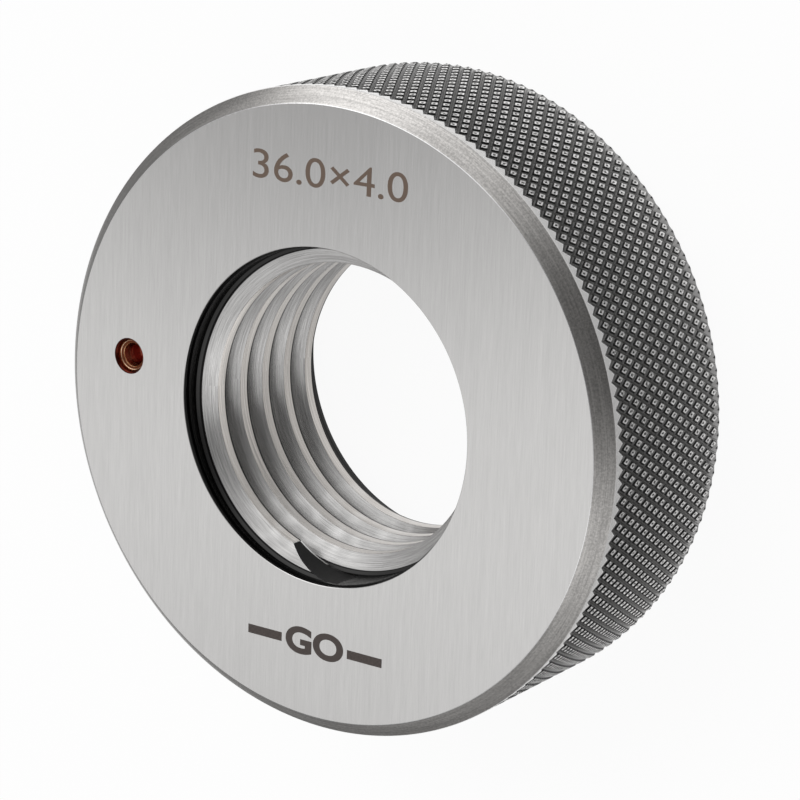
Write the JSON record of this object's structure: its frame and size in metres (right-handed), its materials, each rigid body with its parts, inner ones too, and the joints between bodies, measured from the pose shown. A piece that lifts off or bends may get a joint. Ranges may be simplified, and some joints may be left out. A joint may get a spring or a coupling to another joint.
{
  "type": "thread ring gauge",
  "caption": "Solid steel thread ring gauge with a coarse right-hand internal thread, blunt thread starts, a knurled rim, ground faces and a hollow copper plug in the front face.",
  "frame": {"origin": "centre of the back face, on which the ring lies", "axes": "+Z along the bore's axis, out of the front face; +Y towards the side of the front face that reads as its top, with the plug near -X"},
  "size_m": [0.07, 0.07, 0.024],
  "materials": {
    "steel": "ground and brushed faces and thread, dark rim knurling, black oxide in the mouths and thread roots",
    "copper": "turned copper, dark inside"
  },
  "bodies": {
    "root": {"gauge_ring": "steel", "copper_plug": "copper"}
  },
  "joints": []
}
